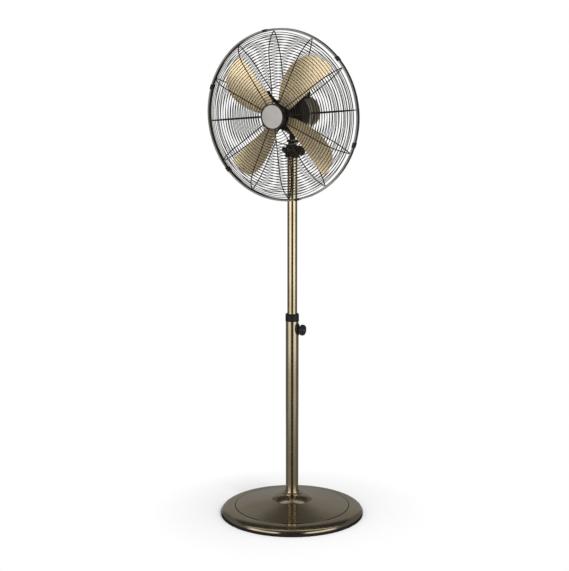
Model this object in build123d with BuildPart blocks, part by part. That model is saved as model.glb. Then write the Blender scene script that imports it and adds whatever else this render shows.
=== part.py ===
from build123d import *
import math
import os

os.makedirs("parts", exist_ok=True)

# Pedestal fan with a wire guard. The floor is z = 0, the pole stands on the origin and the fan blows to -Y.

# Clearances
SLIP = 0.05  # radial gap of pieces that stay together
RUN = 0.06  # radial gap of a running fit
SEAT = 0.05  # gap between flat faces that bear on each other
FREE = 0.4  # gap at a stop
OVER = 1.0  # how far a cut runs past the face it opens

# Base
BASE_R = 192.0
EDGE_H = 7.0
EDGE_W = 10.0
EDGE_LEDGE = 4.0
EDGE_LIP = 1.5
SHEET = 1.2
RIM_TOP = 8.0
GROOVE_IN = 38.5
GROOVE_Z = 22.5
GROOVE_DEPTH = 1.0
STEP = 0.9
STEP_RUN = 1.0
CROWN_R = 56.0
CROWN_Z = 43.0
CROWN_BULGE = 1.8
HUB_R = 28.0
HUB_Z = 57.0
PLATE_T = 1.5
WEIGHT_T = 6.0
WEIGHT_IN = 20.0
WEIGHT_CHAMFER = 3.0
WEIGHT_BORE = 60.0
TIE_R = 5.0
TIE_HEAD_R = 8.0
TIE_HEAD_T = 2.2
TIE_FLANGE_R = 13.0
TIE_FLANGE_T = 1.2
SPACER_WALL = 5.0

# Pole
LOWER_R = 17.2
LOWER_WALL = 1.5
LOWER_TOP = 533.0
FOOT_RING_R = 26.0
FOOT_RING_H = 9.0
FOOT_RING_EDGE = 2.0
FOOT_RING_LIP = 1.5
FOOT_RING_FLARE = (3.2, 3.8)
PLUG_H = 28.0
PLUG_CHAMFER = 1.0
UPPER_R = 13.0
UPPER_WALL = 1.2
MAST_OUT = 435.0
SLEEVE_L = 80.0
COLLAR_R = 18.0
COLLAR_H = 20.0
COLLAR_CHAMFER = 2.5
GUIDE_H = 8.0
GUIDE_SPIGOT = 20.0

# Height lock
LOCK_DROP = 22.0
LOCK_SCREW_R = 3.0
LOCK_BOSS_W = 18.0
LOCK_BOSS_H = 32.0
LOCK_BOSS_X = 18.8
KNOB_R = 14.5
KNOB_T = 10.0
KNOB_STEM_R = 5.5
KNOB_STEM_L = 6.5
KNOB_FLUTES = 10
FLUTE_R = 2.2
FLUTE_OUT = 0.55  # share of a flute's radius that lies outside the knob
KNOB_BEVEL = 0.25  # share of the knob's length in each bevel
KNOB_FACE = 0.72  # share of the knob's radius that is flat in front

# Tilt joint
TILT_RISE = 18.0
EAR_R = 12.0
EAR_T = 7.0
TONGUE_HALF = 7.0
TILT_WASHER_T = 0.9
SOCKET_R = 15.0
SOCKET_SHOULDER = 4.0
SOCKET_SPIGOT = 36.0
TILT_BOLT_R = 4.0
TILT_NUT_R = 7.0
TILT_NUT_L = 14.0
TILT_KNOB_R = 12.5
TILT_KNOB_L = 18.0
TILT_STEM_R = 7.5
TILT_STEM_L = 3.0
KNOB_CAP_T = 2.5
KNOB_CAP_LIP = 1.0
SOCKET_SCREW_R = 2.0
SOCKET_SCREW_HEAD_R = 3.6
SOCKET_SCREW_HEAD_T = 1.6
TILT_WASHER_IN = 1.0
TILT_NUT_CHAMFER = 1.2

# Neck and oscillation pivot
NECK_FLANGE_R = 15.0
NECK_FLANGE_T = 4.5
NECK_GAP = 9.5
TONGUE_TAPER = 1.5
PIVOT_R = 4.0
PIVOT_SEAT = 10.0
PIVOT_BORE_L = 20.0
THRUST_T = 1.2
YOKE_BOSS_R = 8.0
YOKE_BOSS_L = 13.0
YOKE_HALF_X = 28.0
YOKE_HALF_Y = 17.0
YOKE_CORNER = 6.0

# Head
HEAD_RISE = 20.7
RIM_Y = -56.0
BELL_R = 46.0
BELL_FRONT = -25.0
BELL_REAR = 10.0
BELL_WALL = 3.0
BELL_EDGE_R = 8.0
BELL_CHAMFER = 5.0
NOSE_CHAMFER = 2.0
NOSE_R = 14.0
NOSE_L = 9.0
SHELL_R = 44.0
SHELL_WALL = 1.2
DOME_Y = 62.0
DOME_FLAT_R = 16.0
SHELL_REAR = 95.0
VENT_COUNT = 16
VENT_R = 28.0
VENT_L = 13.0
VENT_W = 2.4
SHAFT_R = 4.0
SHAFT_TAIL_R = 3.0
SHAFT_FRONT = -91.0
BEARING_R = 9.0
BEARING_W = 7.0
CORE_R = 25.0
STATOR_Y = 2.0
STATOR_L = 24.0
AIR_GAP = 0.5
COIL_R = 34.0
COIL_WIRE_R = 4.5
PLATE_Y = 36.0
REAR_PLATE_T = 3.0

# Guard
GUARD_R = 220.0
RIM_PLAY = 0.2
RIM_WIRE_R = 2.0
HOOP_W = 11.2
HOOP_T = 1.2
HOOP_LIP = 4.2
WIRE_R = 0.9
RIB_WIRE_R = 1.3
WIRE_SIDES = 12
WELD = 0.05
RIB_COUNT = 12
RIB_START = 6.0
RING_PITCH = 7.2
FRONT_DEPTH = 42.0
FRONT_FLAT_R = 150.0
FRONT_SAG = 4.0
REAR_FLAT_R = 140.0
REAR_SAG = 2.5
FRONT_HUB_R = 33.0
FRONT_HUB_T = 7.0
FRONT_HUB_LAP = 10.0
FRONT_HUB_FILLET = 1.0
BADGE_R = 29.5
BADGE_T = 1.6
BADGE_DOME = 1.4
ARM_R = 77.0
ARM_EYE_R = 7.0
ARM_W = 8.5
ARM_T = 3.5
ARM_ANGLE = 42.0
REAR_HUB_T = 1.6
REAR_BAND_W = 2.5
REAR_TAB_R = 6.0
RIB_OVERHANG = 3.0
GUARD_SCREW_R = 2.0
GUARD_SCREW_HEAD_R = 4.0
GUARD_SCREW_HEAD_T = 2.0
BELL_SCREW_PITCH_R = 30.0
CLIP_COUNT = 6
CLIP_START = 46.0
CLIP_SWEEP = 3.4
CLIP_T = 0.9
CLIP_HOOK = 1.2

# Blades
BLADE_COUNT = 4
BLADE_START = 52.0
BLADE_Y = -71.0
TIP_GAP = 31.0
BLADE_T = 1.4
BLADE_CAMBER = 8.0
BLADE_HALF = 62.0
ROOT_PITCH = 29.0
TIP_PITCH = 14.0
BLADE_ROOT = 26.0
BLADE_LEAD = (-9.0, -42.0)
BLADE_END = ((1.0, -18.0), (-2.0, 6.0))
BLADE_TRAIL = ((0.88, 34.0), (0.70, 45.0), (0.48, 43.0), (0.29, 33.0))
BLADE_TRAIL_ROOT = 18.0
BLADE_TIP_FILLET = 9.0
BLANK_START = 8.0
BLANK_MID = 0.65
BLANK_END = 6.0
HUB_ARM_START = 2.0
HUB_ARM_END = 8.0
HUB_ARM_MARGIN = 7.0
HUB_ARM_CORNER = 6.0
HUB_BOSS_R = 22.0
HUB_FRONT = -86.0
HUB_REAR = -56.0
RIVET_U = 56.0
RIVET_V = (2.0, 18.0)
RIVET_R = 2.0
RIVET_HEAD_R = 4.2
RIVET_HEAD_T = 1.6
RIVET_TAIL_R = 3.2
NUT_R = 11.0
NUT_L = 6.0

# Oscillation gears, module in mm
MODULE = 0.8
WORM_PITCH_R = 5.0
WORM_TURNS = 4
WHEEL_TEETH = 30
WHEEL_W = 5.0
PINION_TEETH = 9
CRANK_TEETH = 22
GEAR_W = 4.5
BACKLASH = 0.4
ADDENDUM = 0.75  # in modules
DEDENDUM = 1.1  # in modules
TOOTH_TIP = 0.5  # share of the tooth's half thickness at its tip
TOOTH_ROOT = 1.5  # and at its root
TOOTH_SINK = 0.5
WORM_Y = 54.5
CLUTCH_R = 2.5
CLUTCH_FLANGE = 2.0
CRANK_SHAFT_R = 4.0
FLOOR_DROP = 28.0
FLOOR_T = 3.0
TOP_RISE = 12.0
TOP_T = 2.5
FRAME_WALL = 1.5
CRANK_THROW = 11.9
CRANK_DISC_R = 15.5
CRANK_DISC_RISE = 11.0
CRANK_DISC_T = 3.0
CRANK_PIN_R = 2.5
CRANK_PIN_END = 1.0
ANCHOR_R = 16.0
ANCHOR_PIN_R = 2.0
LINK_T = 3.0
LINK_EYE_R = 5.8
LUG_R = 5.2
LINK_SLACK = 1.8
LINK_W = 5.0
LINK_LEAN = 1.1
FRAME_LEFT = -10.0
FRAME_TOP_LEFT = 7.0
FRAME_GAP = 3.5
FRAME_MARGIN_X = 6.5
FRAME_MARGIN_Y = 7.5

# Controls and inlet
OSC_KNOB_R = 5.0
OSC_KNOB_H = 17.0
OSC_KNOB_SINK = 2.0
OSC_KNOB_FILLET = 2.0
OSC_TRAVEL = 6.0
SPEED_R = 12.0
SPEED_L = 13.0
SPEED_TAPER = 1.5
SPEED_GRIP_W = 9.6
SPEED_GRIP_L = 9.1
SPEED_BEVEL = (3.0, 4.0)
SPEED_STEM_R = 3.0
SWITCH_R = 10.0
SWITCH_L = 10.0
CAPACITOR = (14.0, 18.0, 24.0)
CAPACITOR_X = -25.0
CAPACITOR_FILLET = 2.0
GLAND_R = 5.0
GLAND_FLANGE_R = 7.0
GLAND_FLANGE_T = 3.0
GLAND_Y = 46.0

# Places that follow from the sizes above
GROOVE_R = BASE_R - GROOVE_IN
LOWER_BORE = LOWER_R - LOWER_WALL
UPPER_BORE = UPPER_R - UPPER_WALL
PLATE_BOTTOM = EDGE_LEDGE
PLATE_TOP = PLATE_BOTTOM + PLATE_T
SLEEVE_END = LOWER_TOP - SLEEVE_L
LOCK_Z = LOWER_TOP - LOCK_DROP
UPPER_TOP = LOWER_TOP + MAST_OUT
UPPER_FOOT = SLEEVE_END - FREE
TILT_Z = UPPER_TOP + TILT_RISE
EAR_IN = TONGUE_HALF + TILT_WASHER_T + 2 * SEAT
EAR_OUT = EAR_IN + EAR_T
FLANGE_BOTTOM = TILT_Z + EAR_R + NECK_GAP
FLANGE_TOP = FLANGE_BOTTOM + NECK_FLANGE_T
YOKE_BOTTOM = FLANGE_TOP + THRUST_T + 2 * SEAT
HEAD_Z = YOKE_BOTTOM + HEAD_RISE + BELL_R
RIM_R = GUARD_R - HOOP_T - RIM_WIRE_R - RIM_PLAY
BLADE_TIP = GUARD_R - TIP_GAP
BRACKET_FRONT = BELL_FRONT - ARM_T
TAB_FRONT = BRACKET_FRONT - REAR_HUB_T
SHELL_BORE = SHELL_R - SHELL_WALL
STATOR_R = SHELL_BORE - FREE
PLATE_REAR = PLATE_Y + REAR_PLATE_T
AXIAL_PITCH = math.pi * MODULE
WHEEL_R = MODULE * WHEEL_TEETH / 2
WHEEL_X = WORM_PITCH_R + WHEEL_R
GEAR_CENTRES = MODULE * (PINION_TEETH + CRANK_TEETH) / 2
CRANK_X = ANCHOR_R - CRANK_THROW + LINK_LEAN
CRANK_Y = WORM_Y - math.sqrt(GEAR_CENTRES**2 - (WHEEL_X - CRANK_X) ** 2)
FLOOR_Z = HEAD_Z - FLOOR_DROP
TOP_Z = HEAD_Z + TOP_RISE
CRANK_DISC_Z = FLANGE_TOP + CRANK_DISC_RISE
GEAR_Z = FLOOR_Z + FLOOR_T + SEAT
LINK_Z = CRANK_DISC_Z - SEAT - LINK_T
SHELL_TOP = HEAD_Z + math.sqrt(SHELL_R**2 - WHEEL_X**2)

# The head's half sections are drawn on HEAD_SIDE as (depth along +Y, radius)
HEAD_AXIS = Axis((0, 0, HEAD_Z), (0, 1, 0))
HEAD_SIDE = Plane(origin=(0, 0, HEAD_Z), x_dir=(0, 1, 0), z_dir=(1, 0, 0))


def front_plane(depth):
    """Plane across the head axis at a depth along +Y, with its normal towards the front."""
    return Plane(origin=(0, depth, HEAD_Z), x_dir=(1, 0, 0), z_dir=(0, -1, 0))


def cross_plane(x, z):
    """Plane across the X direction, with its normal along +X."""
    return Plane(origin=(x, 0, z), x_dir=(0, 1, 0), z_dir=(1, 0, 0))


def write(piece, name):
    """Label a finished piece and write it out."""
    piece.part.label = name
    export_step(piece.part, f"parts/{name}.step")


def outline(*points):
    """Closed straight-edged face in the current sketch."""
    with BuildLine() as lines:
        Polyline(*points, close=True)
    make_face(lines.edges())


def bar(plane, radius, length, mode=Mode.ADD):
    """Round bar that starts on a plane and runs along its normal."""
    with BuildSketch(plane) as section:
        Circle(radius)
    extrude(section.sketch, amount=length, mode=mode)


def tube(plane, outer, inner, length):
    """Round tube that starts on a plane and runs along its normal."""
    with BuildSketch(plane) as section:
        Circle(outer)
        Circle(inner, mode=Mode.SUBTRACT)
    extrude(section.sketch, amount=length)


def cover_outline(inset):
    """Half section of the base cover, shrunk by the sheet's thickness for its inner side."""
    with BuildLine() as lines:
        rim_r = BASE_R - EDGE_LIP - inset
        roll_r = GROOVE_R + STEP_RUN
        rim = Line((rim_r, EDGE_LEDGE - inset), (rim_r, RIM_TOP))
        roll_rise = GROOVE_Z - RIM_TOP - inset
        roll = EllipticalCenterArc((roll_r, RIM_TOP), rim_r - roll_r, roll_rise, arc_size=90)
        groove = Polyline(
            roll @ 1,
            (GROOVE_R, GROOVE_Z - GROOVE_DEPTH - inset),
            (GROOVE_R - STEP_RUN, GROOVE_Z + STEP - inset),
            (CROWN_R, CROWN_Z - inset),
        )
        crown = ThreePointArc(
            groove @ 1,
            ((CROWN_R + HUB_R) / 2 + CROWN_BULGE, (CROWN_Z + HUB_Z) / 2 + CROWN_BULGE - inset),
            (HUB_R, HUB_Z - inset),
        )
        top = Line(crown @ 1, (0, HUB_Z - inset))
        Polyline(top @ 1, (0, EDGE_LEDGE - inset), rim @ 0)
    make_face(lines.edges())


def knob(start_x, z, radius, length, stem_radius, stem_length, bore):
    """Fluted hand knob on the X axis with a stem towards the pole."""
    axis = Axis((0, 0, z), (1, 0, 0))
    back = start_x + stem_length
    front = back + length
    with BuildSketch(Plane(origin=(0, 0, z), x_dir=(1, 0, 0), z_dir=(0, -1, 0))) as section:
        with BuildLine():
            stem = Polyline(
                (start_x, bore),
                (start_x, stem_radius),
                (back, stem_radius),
                (back + length * KNOB_BEVEL, radius),
                (front - length * KNOB_BEVEL, radius),
            )
            face = TangentArc(stem @ 1, (front, radius * KNOB_FACE), tangent=(1, 0))
            Polyline(face @ 1, (front, bore), (start_x, bore))
        make_face()
    revolve(section.sketch, axis=axis)
    with BuildSketch(cross_plane(back, z)) as flutes:
        with PolarLocations(radius + FLUTE_R * FLUTE_OUT, KNOB_FLUTES):
            Circle(FLUTE_R)
    extrude(flutes.sketch, amount=length, mode=Mode.SUBTRACT)


def gear_outline(teeth, bore, gap_angle):
    """Gear face with straight-flanked teeth thinned for backlash; a gap's middle lies at gap_angle."""
    pitch_r = MODULE * teeth / 2
    tip_r = pitch_r + ADDENDUM * MODULE
    root_r = pitch_r - DEDENDUM * MODULE
    half = (AXIAL_PITCH / 2 - BACKLASH) / 2
    Circle(root_r)
    with PolarLocations(0, teeth, start_angle=gap_angle + 180 / teeth):
        with BuildLine() as tooth:
            Polyline(
                (root_r - TOOTH_SINK, TOOTH_ROOT * half),
                (pitch_r, half),
                (tip_r, TOOTH_TIP * half),
                (tip_r, -TOOTH_TIP * half),
                (pitch_r, -half),
                (root_r - TOOTH_SINK, -TOOTH_ROOT * half),
                close=True,
            )
        make_face(tooth.edges())
    if bore:
        Circle(bore, mode=Mode.SUBTRACT)


# Base
with BuildPart() as base_cover:
    with BuildSketch(Plane.XZ):
        cover_outline(0)
    revolve(axis=Axis.Z)
    with BuildSketch(Plane.XZ):
        cover_outline(SHEET)
    revolve(axis=Axis.Z, mode=Mode.SUBTRACT)
    bar(Plane.XY.offset(HUB_Z - 2 * SHEET), TIE_R + SLIP, 3 * SHEET, Mode.SUBTRACT)
write(base_cover, "base_cover")

with BuildPart() as base_edge:
    slot_out = BASE_R - EDGE_LIP + SLIP
    slot_in = BASE_R - EDGE_LIP - SHEET - SLIP
    with BuildSketch(Plane.XZ):
        outline(
            (BASE_R - EDGE_W, 0),
            (BASE_R, 0),
            (BASE_R, EDGE_H),
            (slot_out, EDGE_H),
            (slot_out, EDGE_LEDGE - SHEET - SEAT),
            (slot_in, EDGE_LEDGE - SHEET - SEAT),
            (slot_in, EDGE_LEDGE),
            (BASE_R - EDGE_W, EDGE_LEDGE),
        )
    revolve(axis=Axis.Z)
write(base_edge, "base_edge")

with BuildPart() as base_plate:
    tube(Plane.XY.offset(PLATE_BOTTOM), BASE_R - EDGE_LIP - SHEET - 2 * SLIP, TIE_R + SLIP, PLATE_T)
write(base_plate, "base_plate")

with BuildPart() as base_weight:
    tube(Plane.XY.offset(PLATE_TOP), BASE_R - WEIGHT_IN, WEIGHT_BORE, WEIGHT_T)
    chamfer(base_weight.edges().group_by(Axis.Z)[-1], WEIGHT_CHAMFER)
write(base_weight, "base_weight")

with BuildPart() as base_spacer:
    tube(Plane.XY.offset(PLATE_TOP), TIE_R + SLIP + SPACER_WALL, TIE_R + SLIP, HUB_Z - SHEET - PLATE_TOP)
write(base_spacer, "base_spacer")

with BuildPart() as tie_bolt:
    with BuildSketch(Plane.XY.offset(PLATE_BOTTOM - TIE_FLANGE_T - TIE_HEAD_T)):
        RegularPolygon(TIE_HEAD_R, 6)
    extrude(amount=TIE_HEAD_T)
    bar(Plane.XY.offset(PLATE_BOTTOM - TIE_FLANGE_T), TIE_FLANGE_R, TIE_FLANGE_T)
    bar(Plane.XY.offset(PLATE_BOTTOM), TIE_R, HUB_Z + PLUG_H - PLATE_BOTTOM)
write(tie_bolt, "tie_bolt")

# Pole
with BuildPart() as foot_ring:
    with BuildSketch(Plane.XZ):
        with BuildLine():
            under = Line((LOWER_R + SLIP, HUB_Z), (FOOT_RING_R, HUB_Z))
            edge = Line(under @ 1, (FOOT_RING_R, HUB_Z + FOOT_RING_EDGE))
            flare = ThreePointArc(
                edge @ 1,
                (LOWER_R + FOOT_RING_FLARE[0], HUB_Z + FOOT_RING_FLARE[1]),
                (LOWER_R + FOOT_RING_LIP, HUB_Z + FOOT_RING_H),
            )
            Polyline(flare @ 1, (LOWER_R + SLIP, HUB_Z + FOOT_RING_H), under @ 0)
        make_face()
    revolve(axis=Axis.Z)
write(foot_ring, "foot_ring")

with BuildPart() as lower_tube:
    tube(Plane.XY.offset(HUB_Z), LOWER_R, LOWER_BORE, LOWER_TOP - HUB_Z)
    bar(cross_plane(0, LOCK_Z), LOCK_SCREW_R + FREE, 2 * LOWER_R, Mode.SUBTRACT)
write(lower_tube, "lower_tube")

with BuildPart() as foot_plug:
    tube(Plane.XY.offset(HUB_Z), LOWER_BORE - SLIP, TIE_R + SLIP, PLUG_H)
    chamfer(foot_plug.edges().group_by(Axis.Z)[-1], PLUG_CHAMFER)
write(foot_plug, "foot_plug")

with BuildPart() as pole_collar:
    tube(Plane.XY.offset(LOWER_TOP), COLLAR_R, UPPER_R + RUN, COLLAR_H)
    chamfer(pole_collar.edges().group_by(Axis.Z)[-1].sort_by(SortBy.RADIUS)[-1], COLLAR_CHAMFER)
    tube(Plane.XY.offset(SLEEVE_END), LOWER_BORE - SLIP, UPPER_R + RUN, SLEEVE_L)
    bar(cross_plane(0, LOCK_Z), LOCK_SCREW_R + FREE, 2 * LOWER_R, Mode.SUBTRACT)
write(pole_collar, "pole_collar")

with BuildPart() as lock_boss:
    with BuildSketch(cross_plane(0, LOCK_Z)):
        Ellipse(LOCK_BOSS_W / 2, LOCK_BOSS_H / 2)
        Circle(LOCK_SCREW_R + RUN, mode=Mode.SUBTRACT)
    extrude(amount=LOCK_BOSS_X)
    bar(Plane.XY.offset(LOCK_Z - LOCK_BOSS_H), LOWER_R + SLIP, 2 * LOCK_BOSS_H, Mode.SUBTRACT)
write(lock_boss, "lock_boss")

LOCK_TIP_X = UPPER_R + SLIP
LOCK_KNOB_X = LOCK_BOSS_X + FREE
with BuildPart() as lock_knob:
    knob(LOCK_KNOB_X, LOCK_Z, KNOB_R, KNOB_T, KNOB_STEM_R, KNOB_STEM_L, LOCK_SCREW_R + SLIP)
write(lock_knob, "lock_knob")

with BuildPart() as lock_screw:
    bar(cross_plane(LOCK_TIP_X, LOCK_Z), LOCK_SCREW_R, LOCK_KNOB_X + KNOB_STEM_L + KNOB_T - LOCK_TIP_X)
write(lock_screw, "lock_screw")

SOCKET_SCREW_Z = UPPER_TOP - SOCKET_SPIGOT / 2
SCREW_PLANE = Plane(origin=(0, UPPER_R, SOCKET_SCREW_Z), x_dir=(1, 0, 0), z_dir=(0, -1, 0))
with BuildPart() as upper_tube:
    tube(Plane.XY.offset(UPPER_FOOT), UPPER_R, UPPER_BORE, UPPER_TOP - UPPER_FOOT)
    bar(SCREW_PLANE.offset(-1), SOCKET_SCREW_R + SLIP, UPPER_R, Mode.SUBTRACT)
write(upper_tube, "upper_tube")

with BuildPart() as mast_guide:
    bar(Plane.XY.offset(UPPER_FOOT - GUIDE_H), LOWER_BORE - RUN, GUIDE_H)
    bar(Plane.XY.offset(UPPER_FOOT), UPPER_BORE - SLIP, GUIDE_SPIGOT)
write(mast_guide, "mast_guide")

# Tilt joint
with BuildPart() as tilt_socket:
    bar(Plane.XY.offset(UPPER_TOP - SOCKET_SPIGOT), UPPER_BORE - SLIP, SOCKET_SPIGOT)
    bar(Plane.XY.offset(UPPER_TOP), SOCKET_R, SOCKET_SHOULDER)
    for side in (-EAR_OUT, EAR_IN):
        with BuildSketch(cross_plane(side, TILT_Z)):
            Circle(EAR_R)
            with Locations((0, (UPPER_TOP - TILT_Z) / 2)):
                Rectangle(2 * EAR_R, TILT_Z - UPPER_TOP)
            Circle(TILT_BOLT_R + RUN, mode=Mode.SUBTRACT)
        extrude(amount=EAR_T)
    bar(SCREW_PLANE, SOCKET_SCREW_R + SLIP, UPPER_R / 2, Mode.SUBTRACT)
write(tilt_socket, "tilt_socket")

with BuildPart() as socket_screw:
    bar(SCREW_PLANE, SOCKET_SCREW_R, UPPER_R / 2)
    bar(SCREW_PLANE, SOCKET_SCREW_HEAD_R, -SOCKET_SCREW_HEAD_T)
write(socket_screw, "socket_screw")

with BuildPart() as tilt_washers:
    for side in (-TONGUE_HALF - SEAT - TILT_WASHER_T, TONGUE_HALF + SEAT):
        tube(cross_plane(side, TILT_Z), EAR_R - TILT_WASHER_IN, TILT_BOLT_R + RUN, TILT_WASHER_T)
write(tilt_washers, "tilt_washers")

TILT_KNOB_X = EAR_OUT + FREE
TILT_CAP_X = TILT_KNOB_X + TILT_KNOB_L - KNOB_CAP_T
with BuildPart() as tilt_bolt:
    bar(cross_plane(-EAR_OUT, TILT_Z), TILT_BOLT_R, EAR_OUT + TILT_CAP_X - FREE)
    with BuildSketch(cross_plane(-EAR_OUT - TILT_NUT_L, TILT_Z)):
        RegularPolygon(TILT_NUT_R, 6)
    extrude(amount=TILT_NUT_L)
    chamfer(tilt_bolt.edges().group_by(Axis.X)[0], TILT_NUT_CHAMFER)
write(tilt_bolt, "tilt_bolt")

with BuildPart() as tilt_knob:
    grip_l = TILT_KNOB_L - TILT_STEM_L
    knob(TILT_KNOB_X, TILT_Z, TILT_KNOB_R, grip_l, TILT_STEM_R, TILT_STEM_L, TILT_BOLT_R + RUN)
    bar(cross_plane(TILT_CAP_X, TILT_Z), TILT_BOLT_R + KNOB_CAP_LIP, KNOB_CAP_T)
write(tilt_knob, "tilt_knob")

# Neck and oscillation pivot
with BuildPart() as neck:
    with BuildSketch(cross_plane(-TONGUE_HALF, TILT_Z)):
        Circle(EAR_R - FREE)
        with Locations((0, (FLANGE_TOP - TILT_Z) / 2)):
            Rectangle(2 * (EAR_R - TONGUE_TAPER), FLANGE_TOP - TILT_Z)
    extrude(amount=2 * TONGUE_HALF)
    with BuildSketch(Plane.XY.offset(FLANGE_BOTTOM)):
        Circle(NECK_FLANGE_R)
        with BuildLine():
            Polyline(
                (0, -LUG_R),
                (ANCHOR_R, -LUG_R),
                (ANCHOR_R, LUG_R),
                (0, LUG_R),
                close=True,
            )
        make_face()
        with Locations((ANCHOR_R, 0)):
            Circle(LUG_R)
    extrude(amount=NECK_FLANGE_T)
    bar(cross_plane(-EAR_R, TILT_Z), TILT_BOLT_R + RUN, 2 * EAR_R, Mode.SUBTRACT)
    bar(Plane.XY.offset(FLANGE_TOP - PIVOT_SEAT), PIVOT_R + SLIP, PIVOT_SEAT + OVER, Mode.SUBTRACT)
    bar(Plane((ANCHOR_R, 0, FLANGE_BOTTOM - OVER)), ANCHOR_PIN_R + SLIP, 2 * NECK_FLANGE_T, Mode.SUBTRACT)
write(neck, "neck")

with BuildPart() as pivot_pin:
    bar(Plane.XY.offset(FLANGE_TOP - PIVOT_SEAT + SEAT), PIVOT_R, PIVOT_SEAT + PIVOT_BORE_L)
write(pivot_pin, "pivot_pin")

with BuildPart() as thrust_washer:
    tube(Plane.XY.offset(FLANGE_TOP + SEAT), YOKE_BOSS_R, PIVOT_R + RUN, THRUST_T)
write(thrust_washer, "thrust_washer")

with BuildPart() as anchor_pin:
    bar(Plane((ANCHOR_R, 0, FLANGE_BOTTOM)), ANCHOR_PIN_R, LINK_Z + LINK_T - FLANGE_BOTTOM)
write(anchor_pin, "anchor_pin")

# Motor housing
BELL_BOTTOM = HEAD_Z - BELL_R
with BuildPart() as motor_yoke:
    bar(Plane.XY.offset(YOKE_BOTTOM), YOKE_BOSS_R, YOKE_BOSS_L)
    with BuildSketch(Plane.XY.offset(YOKE_BOTTOM + YOKE_BOSS_L)):
        Circle(YOKE_BOSS_R)
    with BuildSketch(Plane((0, BELL_FRONT + YOKE_HALF_Y, BELL_BOTTOM + BELL_R / 4))):
        RectangleRounded(2 * YOKE_HALF_X, 2 * YOKE_HALF_Y - FREE, YOKE_CORNER)
    loft()
    bar(front_plane(BELL_REAR + OVER), BELL_R + SLIP, BELL_REAR - BELL_FRONT + 2 * OVER, Mode.SUBTRACT)
    bar(front_plane(SHELL_REAR), SHELL_R + SLIP, SHELL_REAR - BELL_REAR, Mode.SUBTRACT)
    bar(Plane.XY.offset(YOKE_BOTTOM - OVER), PIVOT_R + RUN, BELL_R, Mode.SUBTRACT)
write(motor_yoke, "motor_yoke")

with BuildPart() as motor_bell:
    with BuildSketch(HEAD_SIDE):
        with BuildLine():
            nose = Polyline(
                (BELL_FRONT - NOSE_L, SHAFT_R + FREE),
                (BELL_FRONT - NOSE_L, NOSE_R - NOSE_CHAMFER),
                (BELL_FRONT - NOSE_L + NOSE_CHAMFER, NOSE_R),
                (BELL_FRONT, NOSE_R),
                (BELL_FRONT, BELL_R - BELL_EDGE_R),
            )
            edge = TangentArc(nose @ 1, (BELL_FRONT + BELL_EDGE_R, BELL_R), tangent=(0, 1))
            Polyline(
                edge @ 1,
                (BELL_REAR, BELL_R),
                (BELL_REAR, BELL_R - BELL_WALL),
                (BELL_FRONT + BELL_WALL + BELL_CHAMFER, BELL_R - BELL_WALL),
                (BELL_FRONT + BELL_WALL, BELL_R - BELL_WALL - BELL_CHAMFER),
                (BELL_FRONT + BELL_WALL, BEARING_R + SLIP),
                (BELL_FRONT + BELL_WALL - BEARING_W - SEAT, BEARING_R + SLIP),
                (BELL_FRONT + BELL_WALL - BEARING_W - SEAT, SHAFT_R + FREE),
                nose @ 0,
            )
        make_face()
    revolve(axis=HEAD_AXIS)
    with BuildSketch(front_plane(BELL_FRONT + BELL_WALL)):
        with PolarLocations(BELL_SCREW_PITCH_R, 4, start_angle=45):
            Circle(GUARD_SCREW_R + SLIP)
    extrude(amount=BELL_WALL, mode=Mode.SUBTRACT)
write(motor_bell, "motor_bell")


def shell_outline(inset):
    """Half section of the rear shell, shrunk by its wall for the inner side."""
    with BuildLine() as lines:
        side = Line((BELL_REAR, SHELL_R - inset), (DOME_Y, SHELL_R - inset))
        dome = TangentArc(side @ 1, (SHELL_REAR - inset, DOME_FLAT_R - inset / 2), tangent=(1, 0))
        Polyline(dome @ 1, (SHELL_REAR - inset, 0), (BELL_REAR, 0), side @ 0)
    make_face(lines.edges())


GLAND_PLANE = Plane(origin=(-SHELL_R, GLAND_Y, HEAD_Z), x_dir=(0, 1, 0), z_dir=(-1, 0, 0))
with BuildPart() as motor_shell:
    with BuildSketch(HEAD_SIDE):
        shell_outline(0)
    revolve(axis=HEAD_AXIS)
    with BuildSketch(HEAD_SIDE):
        shell_outline(SHELL_WALL)
    revolve(axis=HEAD_AXIS, mode=Mode.SUBTRACT)
    bar(front_plane(SHELL_REAR + OVER), SPEED_STEM_R + FREE, 2 * SHELL_WALL + OVER, Mode.SUBTRACT)
    bar(Plane((WHEEL_X, WORM_Y, HEAD_Z)), OSC_KNOB_R + FREE, SHELL_R, Mode.SUBTRACT)
    bar(Plane((CRANK_X, CRANK_Y, HEAD_Z - SHELL_R)), CRANK_SHAFT_R + FREE, SHELL_R / 2, Mode.SUBTRACT)
    bar(GLAND_PLANE.offset(-SHELL_R / 4), GLAND_R, SHELL_R / 2, Mode.SUBTRACT)
    with BuildSketch(front_plane(SHELL_REAR)):
        with PolarLocations(VENT_R, VENT_COUNT):
            SlotOverall(VENT_L, VENT_W)
    extrude(amount=SHELL_REAR - DOME_Y, mode=Mode.SUBTRACT)
write(motor_shell, "motor_shell")

with BuildPart() as rear_plate:
    with BuildSketch(HEAD_SIDE):
        outline(
            (PLATE_Y, SHELL_BORE - SLIP),
            (PLATE_REAR, SHELL_BORE - SLIP),
            (PLATE_REAR, BEARING_R + REAR_PLATE_T),
            (PLATE_Y + BEARING_W, BEARING_R + REAR_PLATE_T),
            (PLATE_Y + BEARING_W, BEARING_R + SLIP),
            (PLATE_Y, BEARING_R + SLIP),
        )
    revolve(axis=HEAD_AXIS)
write(rear_plate, "rear_plate")

with BuildPart() as bearings:
    for depth in (BELL_FRONT + BELL_WALL, PLATE_Y + BEARING_W):
        tube(front_plane(depth), BEARING_R, SHAFT_R + RUN, BEARING_W)
write(bearings, "bearings")

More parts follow.
